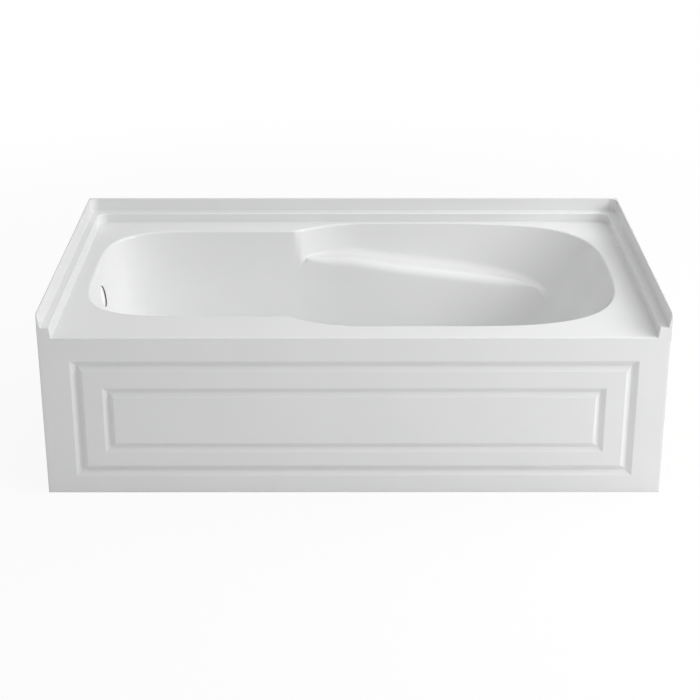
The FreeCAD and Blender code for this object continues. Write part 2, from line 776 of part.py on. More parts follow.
def bracket_screws():
    """Two down through each bracket into the web, two forward into the rail."""
    screws = []
    for end in ("foot", "head"):
        for side in (-1, 1):
            x = size(end + "_channel_x") + side * size("screw_pair") / 2
            down = Vector(x, size("channel_screw_y"), size("bracket_top"))
            screws.append(screw(down, Vector(0, 0, -1), size("bracket_steel") + size("screw_bite")))
            forward = Vector(x, size("rail_back_y") + size("bracket_steel"), size("rail_screw_z"))
            screws.append(screw(forward, Vector(0, -1, 0), size("bracket_steel") + size("screw_bite")))
    return solid_feature("bracket_screws", Part.makeCompound(screws))


# ---------------------------------------------------------------- the whole tub
def build():
    middle_forms = well_forms(size("sheet"))
    parts = [bath_shell(well_forms(0), middle_forms)]
    parts.append(shell_backing(middle_forms, well_forms(size("sheet") + size("laminate"))))
    parts.append(front_apron())
    parts.append(base_board())
    parts += battens()
    parts.append(apron_rail())
    parts += apron_stiles()
    for end in ("foot", "head"):
        parts.append(cradle_channel(end))
        parts.append(apron_bracket(end))
    parts += levelling_feet()
    parts += [cradle_screws(), bracket_screws()]
    return parts


def write(parts):
    doc.recompute()
    for item in doc.Objects:
        if "Invalid" in item.State or "Error" in item.State:
            raise RuntimeError("%s failed: %s" % (item.Name, item.State))
    for item in parts:
        if item.Shape.isNull() or not item.Shape.isValid():
            raise RuntimeError(item.Label + " has no valid shape")
    os.makedirs("parts", exist_ok=True)
    for item in parts:
        item.Shape.exportStep("parts/%s.step" % item.Label)
        print(item.Label, len(item.Shape.Solids), round(item.Shape.Volume))


fill_sheet()
write(build())
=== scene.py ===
"""Looks of the alcove bathtub: acrylic shell and apron, laminate, timber, steel cradle and levelling feet."""
import math

import bmesh
import bpy
import numpy as np
from mathutils import Matrix, Vector, noise


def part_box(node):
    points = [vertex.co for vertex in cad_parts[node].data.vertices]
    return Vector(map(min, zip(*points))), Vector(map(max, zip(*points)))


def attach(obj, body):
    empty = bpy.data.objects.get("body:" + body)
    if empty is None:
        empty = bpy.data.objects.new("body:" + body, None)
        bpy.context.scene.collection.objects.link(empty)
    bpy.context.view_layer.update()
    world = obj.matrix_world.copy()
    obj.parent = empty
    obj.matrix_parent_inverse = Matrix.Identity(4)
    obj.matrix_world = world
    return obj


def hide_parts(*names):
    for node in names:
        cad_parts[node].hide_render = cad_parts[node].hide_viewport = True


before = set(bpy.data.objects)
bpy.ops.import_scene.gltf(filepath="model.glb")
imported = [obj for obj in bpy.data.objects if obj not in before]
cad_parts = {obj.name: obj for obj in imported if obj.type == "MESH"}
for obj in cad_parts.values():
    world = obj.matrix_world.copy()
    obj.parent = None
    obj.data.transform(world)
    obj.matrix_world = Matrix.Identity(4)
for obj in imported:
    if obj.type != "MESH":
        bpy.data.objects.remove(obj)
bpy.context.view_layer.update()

# ---------------------------------------------------------------- sizes, in metres
SHELL_LOW, SHELL_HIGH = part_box("bath_shell")
HALF_LENGTH = SHELL_HIGH.x
FRONT = SHELL_LOW.y
BACK = SHELL_HIGH.y
FLANGE_TOP = SHELL_HIGH.z
SHEET = 0.005
LAMINATE = 0.004
APRON_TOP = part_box("front_apron")[1].z
DECK = APRON_TOP + SHEET
WELL_DEPTH = DECK - SHELL_LOW.z - SHEET

# bathing well at the deck, and how it narrows on its way down
FRONT_DECK = 0.0715
BACK_DECK = 0.0415
CENTRE_Y = (FRONT_DECK - BACK_DECK) / 2
RIM_HALF = (BACK - FRONT - FRONT_DECK - BACK_DECK) / 2
FOOT_RIM = 0.078 - HALF_LENGTH
HEAD_RIM = HALF_LENGTH - 0.085
FOOT_NARROWING = 0.060
REST_WIDTH = 0.085
FOOT_CURVE = 0.334
FOOT_POWER = 4.1                    # powers of the curves that close the well's ends, 2 for an ellipse
SIDE_DRAFT = math.radians(9)
HEAD_STEP = 0.005
HEAD_DRAFT = math.radians(28)
HEAD_CURVE = 0.190
HEAD_POWER = 2.8
BASIN_DRAFT = math.radians(14)
BASIN_FOOT_CURVE = 0.344
BACKREST_DRAFT = math.radians(33)
BASIN_HEAD_CURVE = 0.427
BASIN_HEAD_POWER = 3.2
WAIST_START = FOOT_RIM + FOOT_CURVE + 0.190
WAIST_LENGTH = 0.320
RECESS_START = HEAD_RIM - 0.650
REST_DROP = 0.080
REST_SLOPE = math.radians(6.7)
REST_SLOPE_START = HEAD_RIM - 0.717
REST_BEND = 0.600
REST_FADE = 0.014                   # width at which a rest is there in full
WALL_STEP = 0.024                   # drop between the wall's two corners where there is no rest
RIM_RADIUS = 0.008
REST_FILLET = 0.022
RECESS_FILLET = 0.009
REST_EDGE = 0.026
FLOOR_RADIUS = 0.060
CREASE = 0.003                      # softness of the upright edge where the recess starts

# tile flange: insets from the outer plane
FLANGE_LEAN = 0.010
LEDGE_INNER = 0.030
STEP_FOOT = 0.034
HIDDEN_STEP = 0.027
LEDGE_TOP = DECK + 0.026
COVE = 0.0035
COVE_END = 0.038                    # where the deck is flat again beyond the cove
DECK_SUPPORT = 0.019                # rim to the outer end of the rows that run round it
FRONT_EDGE = 0.0045                 # rounding of the deck's front edge
FLANGE_EDGE = 0.0020                # rounding of the flange's front ends
FLANGE_NOSE = 0.0085                # rounding of the flange's top towards the front
CAP_DEPTH = 0.009

# holes
OVERFLOW_RADIUS = 0.0285
OVERFLOW_DROP = 0.075
DRAIN_RADIUS = 0.026
DRAIN_X = FOOT_RIM + 0.184
HOLE_CHAMFER = 0.0014
LAMINATE_RELIEF = 0.012
FOOT_DRAFT = math.radians(12)
OVERFLOW_AXIS = (math.cos(FOOT_DRAFT), 0, math.sin(FOOT_DRAFT))

# apron
APRON_RETURN = 0.030
APRON_EDGE = 0.0035
APRON_TOP_EDGE = 0.06               # share of that rounding along the top, where the deck's edge meets it
GROOVES = (
    {"side": 0.074, "top": 0.062, "low": 0.0485, "width": 0.0286, "deep": 0.009},
    {"side": 0.149, "top": 0.1345, "low": 0.1145, "width": 0.025, "deep": 0.0075},
)
GROOVE_FLAT = 0.004

# feet and screws
STUD_RADIUS = 0.0059
PITCH = 0.00175
THREAD_STEPS = 7                    # rings in each turn of a thread
THREAD_DEPTH = 0.00085
STUD_CHAMFER = 0.0011
STUD_CLEARANCE = 0.0001
PAD_RIM = 0.005
PAD_NECK = 0.0125
SCREW_RADIUS = 0.0025
SCREW_HEAD = 0.0025
SCREW_HEAD_RADIUS = 0.005
SCREW_THREAD = 0.00045
SCREW_CROSS = (0.0046, 0.0010, 0.0026)
CRADLE_SCREW_STEP = 0.120
BRACKET_SCREW_SIDE = 0.008

# timber, plywood, and the holes' cut edges with their painted shade, as the materials draw them
PITH_Y = 0.11
PITH_Z = 0.37
RINGS_EACH_METRE = 95.0
PLY = 0.0024
RAW_EDGE_SHADE_BAND = (0.0002, 0.0007)        # beyond a hole's radius, where its raw edge and the shade painted on it fade

# camera: the photo's perspective, most of its rise as tilt and the rest as shift
CAMERA_LENS = 77.76
CAMERA_SHIFT = -0.2
CAMERA_PLACE = (-0.0153, -3.6981, 1.9742)
CAMERA_TILT = 20.366
CAMERA_YAW = 0.079

# lamps: place, size and power
LAMP_AIM = (0.0, 0.0, 0.25)
LAMPS = {
    "key": ((3.4, -1.0, 2.0), (2.0, 1.6), 56.0),
    "near": ((2.0, -1.5, 1.8), (1.2, 1.2), 18.0),
    "rear": ((3.0, 1.0, 2.4), (1.8, 1.6), 30.0),
}


def overflow_place():
    return Vector((FOOT_RIM + OVERFLOW_DROP * math.tan(FOOT_DRAFT), CENTRE_Y, DECK - OVERFLOW_DROP))


def drain_place():
    return Vector((DRAIN_X, CENTRE_Y, DECK - WELL_DEPTH))


# ---------------------------------------------------------------- shader arithmetic
class Value:
    """An output of a shader tree that takes part in Python arithmetic."""

    def __init__(self, shader, socket):
        self.shader = shader
        self.socket = socket

    def math(self, operation, *others):
        links = dict(enumerate((self,) + others))
        return self.shader.node("ShaderNodeMath", {"operation": operation}, links)

    def __add__(self, other):
        return self.math("ADD", other)

    def __mul__(self, other):
        return self.math("MULTIPLY", other)

    def __rsub__(self, other):
        return self.shader.node("ShaderNodeMath", {"operation": "SUBTRACT"}, {0: other, 1: self})

    def __pow__(self, other):
        return self.math("POWER", other)

    __radd__ = __add__
    __rmul__ = __mul__

    def between(self, low, high):
        """0 below low, 1 above high and smooth from one to the other."""
        return self.shader.node("ShaderNodeMapRange", {"interpolation_type": "SMOOTHSTEP"},
                                {0: self, 1: low, 2: high, 3: 0.0, 4: 1.0})


class Shader:
    """The node tree of a material or a world under construction."""

    def __init__(self, owner, end):
        owner.use_nodes = True
        self.tree = owner.node_tree
        self.tree.nodes.clear()
        self.end = self.tree.nodes.new(end)

    def node(self, kind, settings, inputs, output=0):
        made = self.tree.nodes.new(kind)
        for name, value in settings.items():
            setattr(made, name, value)
        for key, value in inputs.items():
            self.feed(made.inputs[key], value)
        return Value(self, made.outputs[output])

    def feed(self, socket, value):
        if isinstance(value, Value):
            self.tree.links.new(value.socket, socket)
        else:
            socket.default_value = value

    def show(self, surface):
        self.tree.links.new(surface.socket, self.end.inputs["Surface"])


class Paint(Shader):
    """A material under construction."""

    def __init__(self, name):
        self.material = bpy.data.materials.new(name)
        super().__init__(self.material, "ShaderNodeOutputMaterial")

    def place(self, turn=(0, 0, 0), shift=(0, 0, 0)):
        """Object coordinates, turned and shifted."""
        coordinates = self.node("ShaderNodeTexCoord", {}, {}, "Object")
        return self.node("ShaderNodeMapping", {}, {"Vector": coordinates, "Rotation": turn, "Location": shift})

    def stretched(self, place, scale):
        """A place scaled along its axes, so that a pattern on it is drawn out."""
        return self.node("ShaderNodeMapping", {}, {"Vector": place, "Scale": scale})

    def noise(self, place, scale, detail=3.0, roughness=0.5, distortion=0.0):
        return self.node("ShaderNodeTexNoise", {}, {"Vector": place, "Scale": scale, "Detail": detail,
                                                    "Roughness": roughness, "Distortion": distortion})

    def mix(self, share, low, high):
        """A colour between two colours."""
        return self.node("ShaderNodeMix", {"data_type": "RGBA"}, {0: share, 6: low, 7: high}, 2)

    def bump(self, height, distance, strength=1.0):
        return self.node("ShaderNodeBump", {}, {"Height": height, "Distance": distance, "Strength": strength})

    def part_of(self, place, axis):
        return self.node("ShaderNodeSeparateXYZ", {}, {0: place}, axis)

    def principled(self, **inputs):
        named = {name.replace("_", " "): value for name, value in inputs.items()}
        self.show(self.node("ShaderNodeBsdfPrincipled", {}, named))
        return self.material


def colour(red, green, blue):
    return (red, green, blue, 1.0)


# ---------------------------------------------------------------- materials
def from_axis(paint, place, centre, axis):
    """Distance of a place from a line through the centre."""
    away = paint.node("ShaderNodeVectorMath", {"operation": "SUBTRACT"}, {0: place, 1: centre})
    across = paint.node("ShaderNodeVectorMath", {"operation": "CROSS_PRODUCT"}, {0: away, 1: axis})
    return paint.node("ShaderNodeVectorMath", {"operation": "LENGTH"}, {0: across}, "Value")


def acrylic_gloss(name, bright):
    """White sheet drawn over a mould: glossy and slightly wavy. Its cut holes have rough raw edges, which are
    painted dark as shade.
    """
    paint = Paint(name)
    place = paint.place()
    overflow = from_axis(paint, place, overflow_place(), OVERFLOW_AXIS)
    drain = from_axis(paint, place, drain_place(), (0, 0, 1))
    # mask of the holes' cut edges: there the sheet is rougher, has no coat, and is painted dark as shade
    near, far = RAW_EDGE_SHADE_BAND
    raw_edge_shade = 1.0 - overflow.between(OVERFLOW_RADIUS + near, OVERFLOW_RADIUS + far)
    raw_edge_shade = raw_edge_shade.math("MAXIMUM", 1.0 - drain.between(DRAIN_RADIUS + near, DRAIN_RADIUS + far))
    waves = paint.noise(place, 5.5, 2.0)
    pebble = paint.noise(place, 260.0, 2.0)
    handling = paint.noise(place, 21.0, 5.0, 0.6)
    base = paint.mix(waves.between(0.3, 0.7), colour(bright, bright * 1.002, bright * 1.004),
                     colour(bright * 0.985, bright * 0.988, bright * 0.992))
    # painted shade: the cut edges are darkened to stand in for the shadow inside the holes
    base = paint.mix(raw_edge_shade, base, colour(0.20, 0.19, 0.17))
    height = waves * 1.0 + pebble * 0.012
    return paint.principled(
        Base_Color=base, Roughness=0.17 + handling.between(0.35, 0.75) * 0.06 + raw_edge_shade * 0.5,
        Normal=paint.bump(height, 0.0011), Coat_Weight=0.35 * (1.0 - raw_edge_shade), Coat_Roughness=0.06, IOR=1.49)


def strands(paint, angle, seed):
    """Chopped glass strands that lie about one angle, 0 to 1."""
    place = paint.place(turn=(angle * 0.7, angle * 0.4, angle), shift=(seed, seed, 0))
    return paint.noise(paint.stretched(place, (26.0, 520.0, 300.0)), 1.0, 2.0, 0.55).between(0.56, 0.70)


def laminate_paint():
    """Resin over chopped strand mat: milky amber, rough and lumpy."""
    paint = Paint("glass_fibre_laminate")
    place = paint.place()
    fibre = strands(paint, 0.2, 3.0)
    for number, angle in enumerate((0.9, 1.7, 2.5)):
        fibre = fibre.math("MAXIMUM", strands(paint, angle, 7.0 * number))
    resin = paint.noise(place, 14.0, 5.0, 0.6)
    runs = paint.noise(place, 70.0, 4.0, 0.6)
    base = paint.mix(resin.between(0.35, 0.7), colour(0.60, 0.53, 0.38), colour(0.70, 0.66, 0.53))
    base = paint.mix(fibre * 0.55, base, colour(0.80, 0.79, 0.72))
    height = fibre * 0.5 + runs * 0.8 + resin * 1.2
    return paint.principled(Base_Color=base, Roughness=0.36 + runs.between(0.3, 0.7) * 0.3,
                            Normal=paint.bump(height, 0.0012), Specular_IOR_Level=0.5)


def wood_paint(name, turn, tones):
    """Planed softwood whose grain runs along X before the turn."""
    paint = Paint(name)
    place = paint.place(turn=turn)
    drift = paint.noise(paint.stretched(place, (0.7, 8.0, 8.0)), 1.6, 3.0)
    y = paint.part_of(place, 1)
    z = paint.part_of(place, 2)
    ring = ((y + PITH_Y) ** 2.0 + (z + PITH_Z) ** 2.0) ** 0.5 + drift * 0.022
    band = (ring * RINGS_EACH_METRE).math("FRACT")
    late = band.between(0.25, 0.92) * (1.0 - band.between(0.93, 1.0))
    fibre = paint.noise(paint.stretched(place, (14.0, 900.0, 900.0)), 1.0, 3.0, 0.6)
    blotch = paint.noise(place, 6.0, 4.0)
    base = paint.mix(late, tones[0], tones[1])
    base = paint.mix(fibre.between(0.35, 0.8) * 0.35, base, tones[2])
    base = paint.mix(blotch.between(0.5, 0.75) * 0.18, base, tones[1])
    return paint.principled(Base_Color=base, Roughness=0.62 + fibre * 0.16,
                            Normal=paint.bump(fibre * 0.6 + late * 0.4, 0.0004))


def plywood_paint():
    """Rotary-cut face with plies that show at the edges."""
    paint = Paint("plywood")
    place = paint.place()
    ply = (paint.part_of(place, 2) * (1.0 / PLY)).math("FRACT")
    layer = (paint.part_of(place, 2) * (0.5 / PLY)).math("FRACT").between(0.49, 0.51)
    glue = 1.0 - ply.between(0.03, 0.10)
    figure = paint.noise(paint.stretched(place, (1.6, 9.0, 1.0)), 2.2, 4.0, 0.55, 1.2)
    lines = (figure * 9.0).math("FRACT").between(0.3, 0.95)
    pores = paint.noise(paint.stretched(place, (30.0, 700.0, 700.0)), 1.0)
    normal = paint.node("ShaderNodeNewGeometry", {}, {}, "Normal")
    flat = paint.part_of(normal, 2).math("ABSOLUTE").between(0.7, 0.9)
    top = paint.mix(lines * 0.55, colour(0.62, 0.47, 0.30), colour(0.50, 0.34, 0.19))
    edge = paint.mix(layer, colour(0.58, 0.42, 0.25), colour(0.36, 0.22, 0.12))
    edge = paint.mix(glue * 0.7, edge, colour(0.12, 0.07, 0.04))
    base = paint.mix(flat, edge, top)
    base = paint.mix(pores.between(0.55, 0.8) * 0.3, base, colour(0.28, 0.18, 0.10))
    return paint.principled(Base_Color=base, Roughness=0.66 + pores * 0.12,
                            Normal=paint.bump(pores + lines * 0.3, 0.0003))


def zinc_paint(name, bright, scale):
    """Zinc-plated steel: soft crystals, fine drawing lines and dull spots."""
    paint = Paint(name)
    place = paint.place()
    crystal = paint.node("ShaderNodeTexVoronoi", {"feature": "F1"},
                         {"Vector": place, "Scale": scale}, "Color")
    tone = paint.node("ShaderNodeSeparateColor", {}, {0: crystal}, 0)
    lines = paint.noise(paint.stretched(place, (600.0, 24.0, 600.0)), 1.0, 2.0)
    dull = paint.noise(place, 33.0, 5.0, 0.65)
    base = paint.mix(tone * 0.6, colour(bright, bright * 1.01, bright * 1.02),
                     colour(bright * 0.78, bright * 0.80, bright * 0.83))
    base = paint.mix(dull.between(0.58, 0.78) * 0.35, base,
                     colour(bright * 0.62, bright * 0.62, bright * 0.60))
    return paint.principled(Base_Color=base, Metallic=1.0,
                            Roughness=0.30 + tone * 0.10 + dull.between(0.45, 0.8) * 0.22,
                            Normal=paint.bump(lines * 0.5 + tone * 0.3, 0.00012))


def rubber_paint():
    """Black moulded rubber with a fine matt grain and a little dust."""
    paint = Paint("black_rubber")
    place = paint.place()
    grain = paint.noise(place, 900.0, 3.0)
    dust = paint.noise(place, 45.0, 5.0, 0.65)
    base = paint.mix(dust.between(0.5, 0.8) * 0.5, colour(0.020, 0.020, 0.021), colour(0.060, 0.058, 0.055))
    return paint.principled(Base_Color=base, Roughness=0.62 + dust * 0.2, Normal=paint.bump(grain, 0.0003))


# ---------------------------------------------------------------- mesh helpers
def mesh_object(name, bm, material, smooth_angle=35.0):
    """An object at the origin from a bmesh, smooth except at edges sharper than the angle."""
    mesh = bpy.data.meshes.new(name)
    bm.to_mesh(mesh)
    bm.free()
    return finished(name, mesh, material, smooth_angle)


def finished(name, mesh, material, smooth_angle=35.0):
    made = bpy.data.objects.new(name, mesh)
    bpy.context.scene.collection.objects.link(made)
    mesh.materials.clear()
    mesh.materials.append(material)
    mesh.shade_smooth()
    mesh.set_sharp_from_angle(angle=math.radians(smooth_angle))
    return made


def evaluated(made):
    """The object's mesh with its modifiers applied."""
    bpy.context.view_layer.update()
    return bpy.data.meshes.new_from_object(made.evaluated_get(bpy.context.evaluated_depsgraph_get()))


def settle(made):
    """Applies every modifier of an object and removes it."""
    mesh = evaluated(made)
    made.modifiers.clear()
    made.data = mesh
    return made


def add_grid(bm, rows, closed):
    """Quads between rows of points; closed joins each row's ends. Returns the vertices by row."""
    made = [[bm.verts.new(point) for point in row] for row in rows]
    columns = len(rows[0])
    for low, high in zip(made, made[1:]):
        for k in range(columns if closed else columns - 1):
            after = (k + 1) % columns
            bm.faces.new((low[k], low[after], high[after], high[k]))
    return made


def rounded(corners, radii, steps, straights):
    """Rows of points along a chain of corner points, with each inner corner rounded.

    corners is a list of arrays of points, one point for each column; radii are arrays or numbers.
    """
    rows = [corners[0]]
    last = corners[0]
    inner = len(corners) - 2
    for k in range(1, inner + 1):
        before = corners[k - 1] - corners[k]
        after = corners[k + 1] - corners[k]
        long_before = np.linalg.norm(before, axis=1)
        long_after = np.linalg.norm(after, axis=1)
        before /= long_before[:, None]
        after /= long_after[:, None]
        half = np.arccos(np.clip((before * after).sum(1), -1, 1)) / 2
        room_before = long_before * (0.95 if k == 1 else 0.47)
        room_after = long_after * (0.95 if k == inner else 0.47)
        reach = np.minimum(radii[k - 1] / np.tan(half), np.minimum(room_before, room_after))
        start = corners[k] + before * reach[:, None]
        end = corners[k] + after * reach[:, None]
        for step in range(1, straights[k - 1] + 1):
            share = step / (straights[k - 1] + 1)
            rows.append(last * (1 - share) + start * share)
        weight = np.sin(half)[:, None]
        for step in range(steps[k - 1] + 1):
            u = step / steps[k - 1]
            bend = 2 * u * (1 - u) * weight
            weighted = (1 - u) ** 2 * start + bend * corners[k] + u ** 2 * end
            rows.append(weighted / ((1 - u) ** 2 + bend + u ** 2))
        last = end
    for step in range(1, straights[-1] + 1):
        share = step / (straights[-1] + 1)
        rows.append(last * (1 - share) + corners[-1] * share)
    rows.append(corners[-1])
    return rows


def chain(points, radii, steps=5):
    """A rounded chain of plain (a, b) points, as one array."""
    corners = [np.array([point], float) for point in points]
    count = len(points) - 2
    rows = rounded(corners, [np.array([radius]) for radius in radii], [steps] * count, [0] * (count + 1))
    return np.array([row[0] for row in rows])


def lathe(name, profile, material, at, axis=(0, 0, 1), segments=48, smooth_angle=35.0):
    """A turned piece from (radius, height) points that start and end on the axis."""
    bm = bmesh.new()
    rows = []
    for radius, height in profile:
        turn = [2 * math.pi * k / segments for k in range(segments)]
        rows.append([Vector((radius * math.cos(a), radius * math.sin(a), height)) for a in turn])
    add_grid(bm, rows, True)
    bmesh.ops.remove_doubles(bm, verts=bm.verts, dist=1e-6)
    bmesh.ops.recalc_face_normals(bm, faces=bm.faces)
    aim = Vector((0, 0, 1)).rotation_difference(Vector(axis)).to_matrix().to_4x4()
    bm.transform(Matrix.Translation(at) @ aim)
    return mesh_object(name, bm, material, smooth_angle)


def cut_away(made, cutters):
    """Cuts solids out of an object and removes them."""
    for cutter in cutters:
        step = made.modifiers.new("cut", "BOOLEAN")
        step.operation = "DIFFERENCE"
        step.solver = "EXACT"
        step.object = cutter
    settle(made)
    for cutter in cutters:
        bpy.data.objects.remove(cutter)
    return made


def weigh_normals(made, smooth_angle=35.0):
    """Lets large faces set the shading of the roundings beside them."""
    made.data.set_sharp_from_angle(angle=math.radians(smooth_angle))
    step = made.modifiers.new("weighted", "WEIGHTED_NORMAL")
    step.keep_sharp = True
    return settle(made)


# ---------------------------------------------------------------- form of the well
def smooth_step(share):
    share = np.clip(share, 0, 1)
    return share * share * (3 - 2 * share)


def softly_larger(one, other, softness):
    return (one + other + np.sqrt((one - other) ** 2 + softness ** 2)) / 2


def lower_form(depth, grow):
    """The long narrow well at a depth, grown by a thickness."""
    narrower = depth * math.tan(SIDE_DRAFT) - grow
    return {"foot_tip": FOOT_RIM + depth * math.tan(FOOT_DRAFT) - grow, "foot_curve": FOOT_CURVE,
            "foot_power": FOOT_POWER, "foot_half": RIM_HALF - FOOT_NARROWING - narrower,
            "head_tip": HEAD_RIM - HEAD_STEP - depth * math.tan(HEAD_DRAFT) + grow,
            "head_curve": HEAD_CURVE, "head_power": HEAD_POWER,
            "head_half": RIM_HALF - REST_WIDTH - narrower}


def upper_form(depth, grow):
    """The wide basin over the arm rests at a depth, grown by a thickness."""
    half = RIM_HALF - depth * math.tan(BASIN_DRAFT) + grow
    tip = RECESS_START - BASIN_FOOT_CURVE + depth * math.tan(BASIN_DRAFT) - grow
    return {"foot_tip": tip, "foot_curve": RECESS_START - tip, "foot_power": 2.0, "foot_half": half,
            "head_tip": HEAD_RIM - depth * math.tan(BACKREST_DRAFT) + grow,
            "head_curve": BASIN_HEAD_CURVE, "head_power": BASIN_HEAD_POWER, "head_half": half}


def half_width(form, x):
    foot = np.clip((form["foot_tip"] + form["foot_curve"] - x) / form["foot_curve"], 0, 1)
    head = np.clip((x - form["head_tip"] + form["head_curve"]) / form["head_curve"], 0, 1)
    waist = smooth_step((x - WAIST_START) / WAIST_LENGTH)
    side = form["foot_half"] * (1 - waist) + form["head_half"] * waist
    side = side * (1 - foot ** form["foot_power"]) ** (1 / form["foot_power"])
    return side * (1 - head ** form["head_power"]) ** (1 / form["head_power"])


class Rays:
    """Directions out of the well's spine: square to it along the sides, fanned out at its ends."""

    def __init__(self, side, foot_turns, head_turns, foot_end=-0.35, head_end=0.25):
        back = [(x, 0.0, 1.0) for x in side]
        front = [(x, 0.0, -1.0) for x in reversed(side)]
        fan = [math.pi / 2 * (1 - 2 * k / head_turns) for k in range(1, head_turns)]
        head = [(head_end, math.cos(a), math.sin(a)) for a in fan]
        fan = [math.pi / 2 * (1 - 2 * k / foot_turns) for k in range(1, foot_turns)]
        foot = [(foot_end, -math.cos(a), -math.sin(a)) for a in fan]
        self.start, self.along, self.across = np.array(back + head + front + foot).T

    def x(self, reach):
        return self.start + reach * self.along

    def reach(self, form):
        """How far each ray runs before it meets the form's wall."""
        low = np.zeros_like(self.start)
        high = np.full_like(self.start, 1.5)
        for _ in range(44):
            middle = (low + high) / 2
            inside = np.abs(middle * self.across) < half_width(form, self.x(middle))
            low = np.where(inside, middle, low)
            high = np.where(inside, high, middle)
        return low

    def points(self, row):
        """(reach, depth) pairs as points of the frame."""
        reach, depth = row.T
        return np.stack([self.x(reach), CENTRE_Y + reach * self.across, DECK - depth], 1)


def spread(low, high, step):
    count = max(1, round((high - low) / step))
    return [low + (high - low) * k / count for k in range(count)]


def well_rays(fine):
    """Rays close together where the recess starts; fine scales the spacing."""
    side = spread(-0.35, -0.19, 0.012 * fine) + spread(-0.19, -0.08, 0.0028 * fine)
    side += spread(-0.08, 0.25, 0.011 * fine) + [0.25]
    return Rays(side, round(64 / fine), round(88 / fine))


def rest_depth(x):
    """Depth of the arm rest: level, then falling towards the backrest."""
    beyond = np.clip(x - REST_SLOPE_START, 0, REST_BEND * math.sin(REST_SLOPE))
    bend = REST_BEND - np.sqrt(REST_BEND ** 2 - beyond ** 2)
    straight = np.clip(x - REST_SLOPE_START - REST_BEND * math.sin(REST_SLOPE), 0, None)
    return REST_DROP + bend + straight * math.tan(REST_SLOPE)


def well_rows(rays, grow, back_edge, fine=1.0):
    """Rows of points from the deck over the rim, the arm rest and the wall to the floor's centre line.

    No row runs further back than back_edge, a distance in from the flange's outer face.
    """
    rim = softly_larger(rays.reach(lower_form(grow, grow)), rays.reach(upper_form(grow, grow)), CREASE)
    outer = rim
    inner = rim
    for _ in range(5):
        outer_depth = rest_depth(rays.x(outer)) + grow
        inner_depth = rest_depth(rays.x(inner)) + grow
        outer = rays.reach(upper_form(outer_depth, grow))
        inner = rays.reach(lower_form(inner_depth, grow))
    rest = smooth_step((outer - inner) / REST_FADE)
    wall = rays.reach(lower_form(outer_depth, grow))
    outer = softly_larger(outer, wall, CREASE)
    inner_depth = inner_depth + WALL_STEP * (1 - rest)
    inner = rays.reach(lower_form(inner_depth, grow))
    floor_depth = WELL_DEPTH + grow
    floor = rays.reach(lower_form(floor_depth, grow))
    level = np.ones_like(rim)
    room = (BACK - back_edge - CENTRE_Y) / np.maximum(rays.across, 1e-3)
    corners = [(np.minimum(rim + DECK_SUPPORT, room), grow * level), (rim, grow * level),
               (outer, outer_depth), (inner, inner_depth), (floor, floor_depth * level),
               (0 * level, floor_depth * level)]
    start_of_rest = smooth_step((rays.x(outer) - WAIST_START - 0.02) / 0.14)
    fillet = RECESS_FILLET + (REST_FILLET - RECESS_FILLET) * start_of_rest
    radii = [max(RIM_RADIUS - grow, 0.003) * level, fillet + grow, max(REST_EDGE - grow, 0.003) * level,
             (FLOOR_RADIUS + grow) * level]
    corners = [np.stack(corner, 1) for corner in corners]
    steps = [round(count / fine) for count in (8, 7, 8, 14)]
    straights = [0] + [round(count / fine) for count in (7, 4, 12, 8)]
    return [rays.points(row) for row in rounded(corners, radii, steps, straights)]


# ---------------------------------------------------------------- tile flange and deck
def corner_radius(inset):
    """Plan radius of the flange's two back corners at an inset."""
    return float(np.interp(inset, [0, 0.005, 0.010, 0.030, 0.040], [0.006, 0.024, 0.019, 0.029, 0.019]))


def wall_path(inset, turns=12, sides=6, back=10):
    """Points along the left, back and right walls at an inset, with rounded back corners."""
    radius = corner_radius(inset)
    x = HALF_LENGTH - inset
    y = BACK - inset
    start = FRONT + CAP_DEPTH
    points = [(-x, start + (y - radius - start) * k / sides) for k in range(sides)]
    for k in range(turns + 1):
        angle = math.pi / 2 * k / turns
        points.append((-x + radius * (1 - math.cos(angle)), y - radius * (1 - math.sin(angle))))
    middle = [(-x + radius + 2 * (x - radius) * k / back, y) for k in range(1, back)]
    return points + middle + [(-px, py) for px, py in reversed(points)]


def flange_section():
    """(inset, height) points from the hidden step's top over the flange to the deck."""
    corners = [(0, LEDGE_TOP - SHEET), (0, FLANGE_TOP), (SHEET, FLANGE_TOP), (FLANGE_LEAN, LEDGE_TOP),
               (LEDGE_INNER, LEDGE_TOP), (STEP_FOOT, DECK), (COVE_END, DECK)]
    return chain(corners, [0.0022, 0.0022, 0.0035, 0.003, COVE])


def front_rows(section):
    """Rows across the whole front, rounded over to the front plane."""
    left = [(-HALF_LENGTH, APRON_TOP)] + [(inset - HALF_LENGTH, height) for inset, height in section]
    middle = [(x, DECK) for x in np.linspace(left[-1][0], -left[-1][0], 31)[1:-1]]
    outline = np.array(left + middle + [(-x, z) for x, z in reversed(left)])
    step = np.gradient(outline, axis=0)
    outward = np.stack([-step[:, 1], step[:, 0]], 1)
    outward /= np.linalg.norm(outward, axis=1)[:, None]
    outward[0] = (-1, 0)
    outward[-1] = (1, 0)
    on_deck = np.abs(outline[:, 1] - DECK) < 1e-5
    radius = np.where(on_deck, FRONT_EDGE, FLANGE_EDGE)
    rise = np.clip((outline[:, 1] - LEDGE_TOP) / (FLANGE_TOP - LEDGE_TOP), 0, 1)
    depth = radius + (FLANGE_NOSE - radius) * rise
    rows = [np.stack([outline[:, 0], np.full(len(outline), FRONT + CAP_DEPTH), outline[:, 1]], 1)]
    for k in range(7):
        angle = math.pi / 2 * k / 6
        shrink = 1 - math.cos(angle)
        flat = outline - outward * (radius * shrink)[:, None]
        flat[:, 1] -= rise * (FLANGE_NOSE - FLANGE_EDGE) * shrink
        flat[0, 1] = flat[-1, 1] = APRON_TOP
        rows.append(np.stack([flat[:, 0], FRONT + depth * (1 - math.sin(angle)), flat[:, 1]], 1))
    return rows


